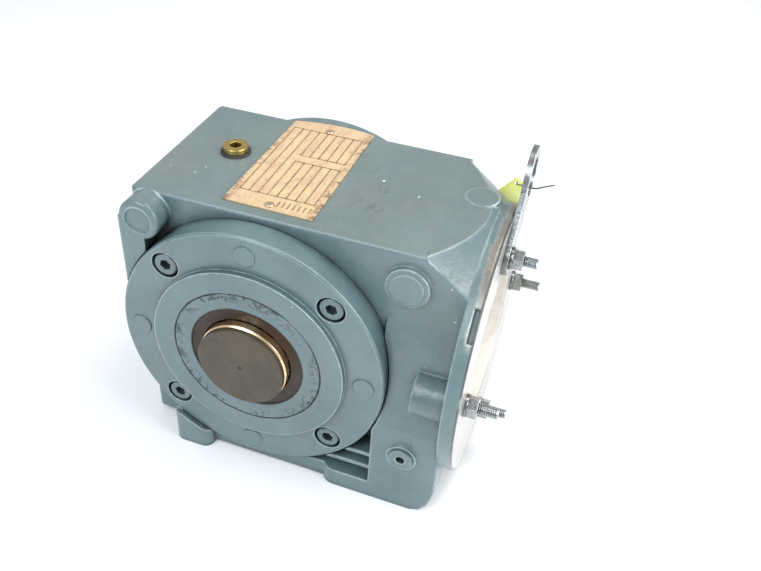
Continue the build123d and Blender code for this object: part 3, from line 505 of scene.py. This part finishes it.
looks = {
    "housing_paint": case_paint("CasePaint", PAINT),
    "cover_paint": paint("CoverPaint", PAINT, 0.0014, 0.9, 0.5, 0.55, carrier_radius),
    "seal_rubber": moulded("SealRubber", (0.016, 0.008, 0.005), (0.038, 0.020, 0.012), 0.45, 0.08),
    "gasket_fibre": moulded("GasketFibre", (0.03, 0.03, 0.032), (0.06, 0.06, 0.062), 0.7, 0.1),
    "bright_steel": machined("TurnedSteel", (0.62, 0.61, 0.58), 0.26, (0.30, 0.22, 0.14), 0.35),
    "black_screws": paint("ScrewPaint", shade(PAINT, 0.85), 0.0005, 1.0, 0.4, 0.3),
    "plug_plastic": paint("HolePlugPaint", PAINT, 0.0008, 0.7, 0.3, 0.4),
    "bearing_steel": machined("BearingSteel", (0.72, 0.72, 0.73), 0.12, staining=0.05),
    "spring_steel": machined("SpringSteel", (0.16, 0.16, 0.17), 0.35, staining=0.1),
    "wheel_bronze": machined("WheelBronze", (0.72, 0.47, 0.20), 0.3, (0.3, 0.16, 0.05), 0.3),
    "cap_plastic": moulded("CapPlastic", (0.046, 0.034, 0.019), (0.074, 0.057, 0.034), 0.40, 0.18, 0.5),
    "zinc_steel": machined("ZincSteel", (0.52, 0.56, 0.58), 0.22, (0.16, 0.13, 0.08), 0.6, dark=0.32),
    "tag_card": moulded("TagPlastic", (0.88, 0.90, 0.16), (0.95, 0.96, 0.38), 0.5, 0.08, 0.15),
    "wire_steel": machined("TieWire", (0.20, 0.19, 0.18), 0.4, staining=0.3),
    "plug_brass": machined("PlugBrass", (0.62, 0.46, 0.16), 0.28, (0.16, 0.11, 0.03), 0.65),
    "plate_metal": nameplate_metal("PlateMetal"),
}
looks_of_node = {
    "output_shaft": shaft_with_oil_and_reflection("ShaftOilAndReflection"),
    "seal_carrier": carrier_paint("CarrierPaint", PAINT),
    "nameplate_rivets": machined("RivetMetal", (0.80, 0.62, 0.44), 0.35, (0.40, 0.26, 0.14), 0.4),
}
for name, node in nodes.items():
    node.data.materials.clear()
    node.data.materials.append(looks_of_node.get(name, looks[slot_of[name]]))

# ---------------------------------------------------------------- pieces that Blender adds


def mesh_piece(name, points, faces, material):
    """A mesh that rides on the case."""
    mesh = bpy.data.meshes.new(name)
    mesh.from_pydata([tuple(p) for p in points], [], faces)
    mesh.validate()
    mesh.update()
    mesh.materials.append(material)
    piece = bpy.data.objects.new(name, mesh)
    bpy.context.scene.collection.objects.link(piece)
    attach(piece, "case")
    return piece


THREAD_PITCH = 0.0011
THREAD_DEPTH = 0.00058
ROWS_PER_PITCH = 8
POINTS_PER_ROW = 16
PLAIN_END = 0.0006
CONE_DROP = 0.0005
CONE_LENGTH = 0.0007


def threaded_stud(index, centre_y, centre_z):
    """A stud whose rows of points rise and fall along a helix, with a cone at its free end."""
    length = studs_high[0] - studs_low[0]
    rows = round(length / THREAD_PITCH * ROWS_PER_PITCH)
    points, faces = [], []
    for row in range(rows + 1):
        along = length * row / rows
        ease = min(1.0, along / PLAIN_END, (length - along) / PLAIN_END)
        cone = STUD_R - CONE_DROP * max(0.0, 1 - (length - along) / CONE_LENGTH)
        for step in range(POINTS_PER_ROW):
            phase = (along / THREAD_PITCH - step / POINTS_PER_ROW) % 1.0
            groove = THREAD_DEPTH * (1 - abs(2 * phase - 1)) * ease
            r = min(cone, STUD_R - groove)
            turn = 2 * math.pi * step / POINTS_PER_ROW
            y, z = centre_y + r * math.cos(turn), centre_z + r * math.sin(turn)
            points.append((studs_low[0] + along, y, z))
    for row in range(rows):
        here, there = row * POINTS_PER_ROW, (row + 1) * POINTS_PER_ROW
        for step in range(POINTS_PER_ROW):
            after = (step + 1) % POINTS_PER_ROW
            faces.append((here + step, here + after, there + after, there + step))
    faces.append(tuple(reversed(range(POINTS_PER_ROW))))
    faces.append(tuple(rows * POINTS_PER_ROW + step for step in range(POINTS_PER_ROW)))
    return mesh_piece(f"threaded_stud_{index}", points, faces, looks["zinc_steel"])


for index, (side, rise) in enumerate(((1, 0), (0, 1), (-1, 0), (0, -1))):
    stud = threaded_stud(index, side * stud_circle, flange_centre_z + rise * stud_circle)
    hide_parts("motor_studs")

# Blank ruled lines of a rating plate: rows along its length, with short cells at its front end.
RULE_WIDTH = 0.0009
RULE_HEIGHT = 0.00006
RULE_SUNK = 0.00005
SIDE_MARGIN = 0.004
FRONT_MARGIN = 0.0125
BACK_MARGIN = 0.0115
COLUMNS = 9
UNBROKEN_COLUMNS = 3
GAP_SHIFT = 0.004
HALF_GAP = 0.0035
CELLS = 7
CELL_SPACING = 0.0028
CELL_FROM = 0.0085
CELL_TO = 0.0035
BOX_FACES = [(0, 3, 2, 1), (4, 5, 6, 7), (0, 1, 5, 4), (1, 2, 6, 5), (2, 3, 7, 6), (3, 0, 4, 7)]


def rule_strips():
    """The start and end of each ruled line, as x0, y0, x1, y1."""
    left, right = plate_low[0] + SIDE_MARGIN, plate_high[0] - SIDE_MARGIN
    front, back = plate_low[1] + FRONT_MARGIN, plate_high[1] - BACK_MARGIN
    middle = (front + back) / 2 + GAP_SHIFT
    spacing = (right - left) / (COLUMNS - 1)
    strips = []
    for column in range(COLUMNS):
        x = left + spacing * column
        if column < UNBROKEN_COLUMNS:
            strips.append((x, front, x, back))
        else:
            strips.append((x, front, x, middle - HALF_GAP))
            strips.append((x, middle + HALF_GAP, x, back))
    for y in (front, back):
        strips.append((left, y, right, y))
    for y in (middle - HALF_GAP, middle + HALF_GAP):
        strips.append((left + spacing * UNBROKEN_COLUMNS, y, right, y))
    for cell in range(CELLS):
        x = right - CELL_SPACING * cell
        strips.append((x, front - CELL_FROM, x, front - CELL_TO))
    return strips


def ruled_lines():
    """Each line is a thin box. Lines across the plate run half a width past their ends."""
    points, faces = [], []
    half = RULE_WIDTH / 2
    for x0, y0, x1, y1 in rule_strips():
        past_end = half if y0 == y1 else 0.0
        x0, x1 = x0 - half, x1 + half
        y0, y1 = y0 - past_end, y1 + past_end
        first = len(points)
        for z in (plate_high[2] - RULE_SUNK, plate_high[2] + RULE_HEIGHT):
            points += [(x0, y0, z), (x1, y0, z), (x1, y1, z), (x0, y1, z)]
        faces += [tuple(first + corner for corner in face) for face in BOX_FACES]
    mesh_piece("nameplate_rules", points, faces, ruled_ink("RuledInk"))


ruled_lines()

# The tag's wire, along the same route as the CAD wire, with its free end beyond the lifting eye.
WIRE_ROUTE = [
    (0.1096, 0.0620, 0.0661),
    (0.1096, 0.0575, 0.0663),
    (0.1110, 0.0515, 0.0705),
    (0.1142, 0.0440, 0.0748),
    (0.1170, 0.0374, 0.0790),
    (0.1220, 0.0355, 0.0792),
    (0.1270, 0.0352, 0.0822),
    (0.1316, 0.0366, 0.0834),
]
WIRE_DIAMETER = 0.0009


def wire_curve():
    curve = bpy.data.curves.new("tie_wire", "CURVE")
    curve.dimensions = "3D"
    curve.bevel_depth = WIRE_DIAMETER / 2
    curve.bevel_resolution = 3
    curve.use_fill_caps = True
    spline = curve.splines.new("NURBS")
    spline.points.add(len(WIRE_ROUTE) - 1)
    for point, place in zip(spline.points, WIRE_ROUTE):
        point.co = (*place, 1.0)
    spline.order_u = 3
    spline.use_endpoint_u = True
    spline.resolution_u = 12
    curve.materials.append(looks["wire_steel"])
    return curve


wire = bpy.data.objects.new("tie_wire", wire_curve())
bpy.context.scene.collection.objects.link(wire)
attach(wire, "case")
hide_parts("tag_wire")

# ---------------------------------------------------------------- stage, light and camera

FLOOR_HALF = 4
floor_z = cad_low[2]
floor_corners = [(-1, -1), (1, -1), (1, 1), (-1, 1)]
floor_points = [(x * FLOOR_HALF, y * FLOOR_HALF, floor_z) for x, y in floor_corners]
floor_mesh = bpy.data.meshes.new("Floor")
floor_mesh.from_pydata(floor_points, [], [(0, 1, 2, 3)])
floor_mesh.materials.append(floor_sheet("FloorSheet"))
floor = bpy.data.objects.new("Floor", floor_mesh)
bpy.context.scene.collection.objects.link(floor)

world = bpy.data.worlds.new("Studio")
world.use_nodes = True
background = world.node_tree.nodes["Background"]
background.inputs["Color"].default_value = (0.975, 0.985, 1.0, 1.0)
background.inputs["Strength"].default_value = 0.64
bpy.context.scene.world = world


def area_light(name, place, aim, size, watts, colour=(1, 1, 1)):
    lamp = bpy.data.lights.new(name, "AREA")
    lamp.size = size
    lamp.energy = watts
    lamp.color = colour
    holder = bpy.data.objects.new(name, lamp)
    holder.location = place
    holder.rotation_mode = "QUATERNION"
    holder.rotation_quaternion = (Vector(aim) - Vector(place)).to_track_quat("-Z", "Y")
    bpy.context.scene.collection.objects.link(holder)


area_light("Key", (0.45, 0.35, 1.15), (0, 0, 0), 0.6, 7.5, (1.0, 0.955, 0.86))
area_light("Front", (-0.30, -0.78, 0.95), (0, 0, 0), 0.70, 9.6, (0.88, 0.97, 1.0))
area_light("Side", (0.85, -0.15, 0.35), (0.1, 0, 0), 0.5, 5.5)

CAMERA_PLACE = Vector((0.15594, -0.35643, 0.31348))
CAMERA_RIGHT = Vector((0.93476, 0.35364, 0.03400))
CAMERA_UP = Vector((-0.24189, 0.56344, 0.78995))
CAMERA_BACK = Vector((0.26021, -0.74664, 0.61223))

camera_data = bpy.data.cameras.new("Camera")
camera_data.sensor_width = 36
camera_data.lens = 40.16
camera_data.shift_x = 0.0453
camera_data.shift_y = -0.0162
camera_data.clip_start = 0.01
camera = bpy.data.objects.new("Camera", camera_data)
camera_turn = Matrix((CAMERA_RIGHT, CAMERA_UP, CAMERA_BACK)).transposed()
camera.matrix_world = Matrix.Translation(CAMERA_PLACE) @ camera_turn.to_4x4()
bpy.context.scene.collection.objects.link(camera)
bpy.context.scene.camera = camera
bpy.context.scene.view_settings.view_transform = "Standard"
